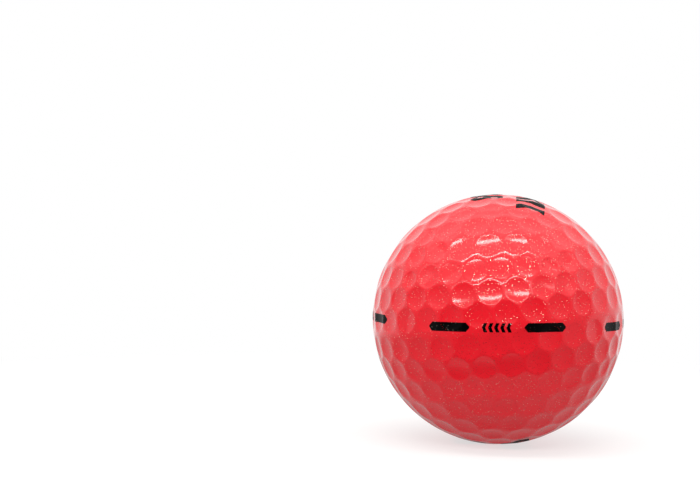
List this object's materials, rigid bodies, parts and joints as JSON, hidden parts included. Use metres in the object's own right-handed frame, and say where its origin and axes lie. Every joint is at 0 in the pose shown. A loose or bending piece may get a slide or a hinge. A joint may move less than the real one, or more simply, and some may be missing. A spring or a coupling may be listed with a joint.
{
  "type": "golf ball",
  "caption": "Three-piece golf ball: solid rubber core, plastic mantle and a glossy dimpled cover with fine glitter, marked with plain numbers and an alignment line.",
  "frame": {"origin": "centre of the ball", "axes": "+Z along the axis the ball is printed about, out through one of the two numbers; -Y out through the small side mark between two alignment dashes; the mould seam is a flat circle tilted 7.7 degrees from the XY plane"},
  "size_m": [0.0426, 0.0426, 0.0426],
  "materials": {
    "core_rubber": "matte cured rubber",
    "mantle_plastic": "satin moulded plastic",
    "cover_plastic": "coral cover with fine glitter under a clear glossy coat",
    "mark_ink": "black pad-printed ink under the clear coat"
  },
  "bodies": {
    "root": {"core": "core_rubber", "mantle_upper": "mantle_plastic", "mantle_lower": "mantle_plastic", "cover_upper": "cover_plastic", "cover_lower": "cover_plastic"}
  },
  "joints": []
}
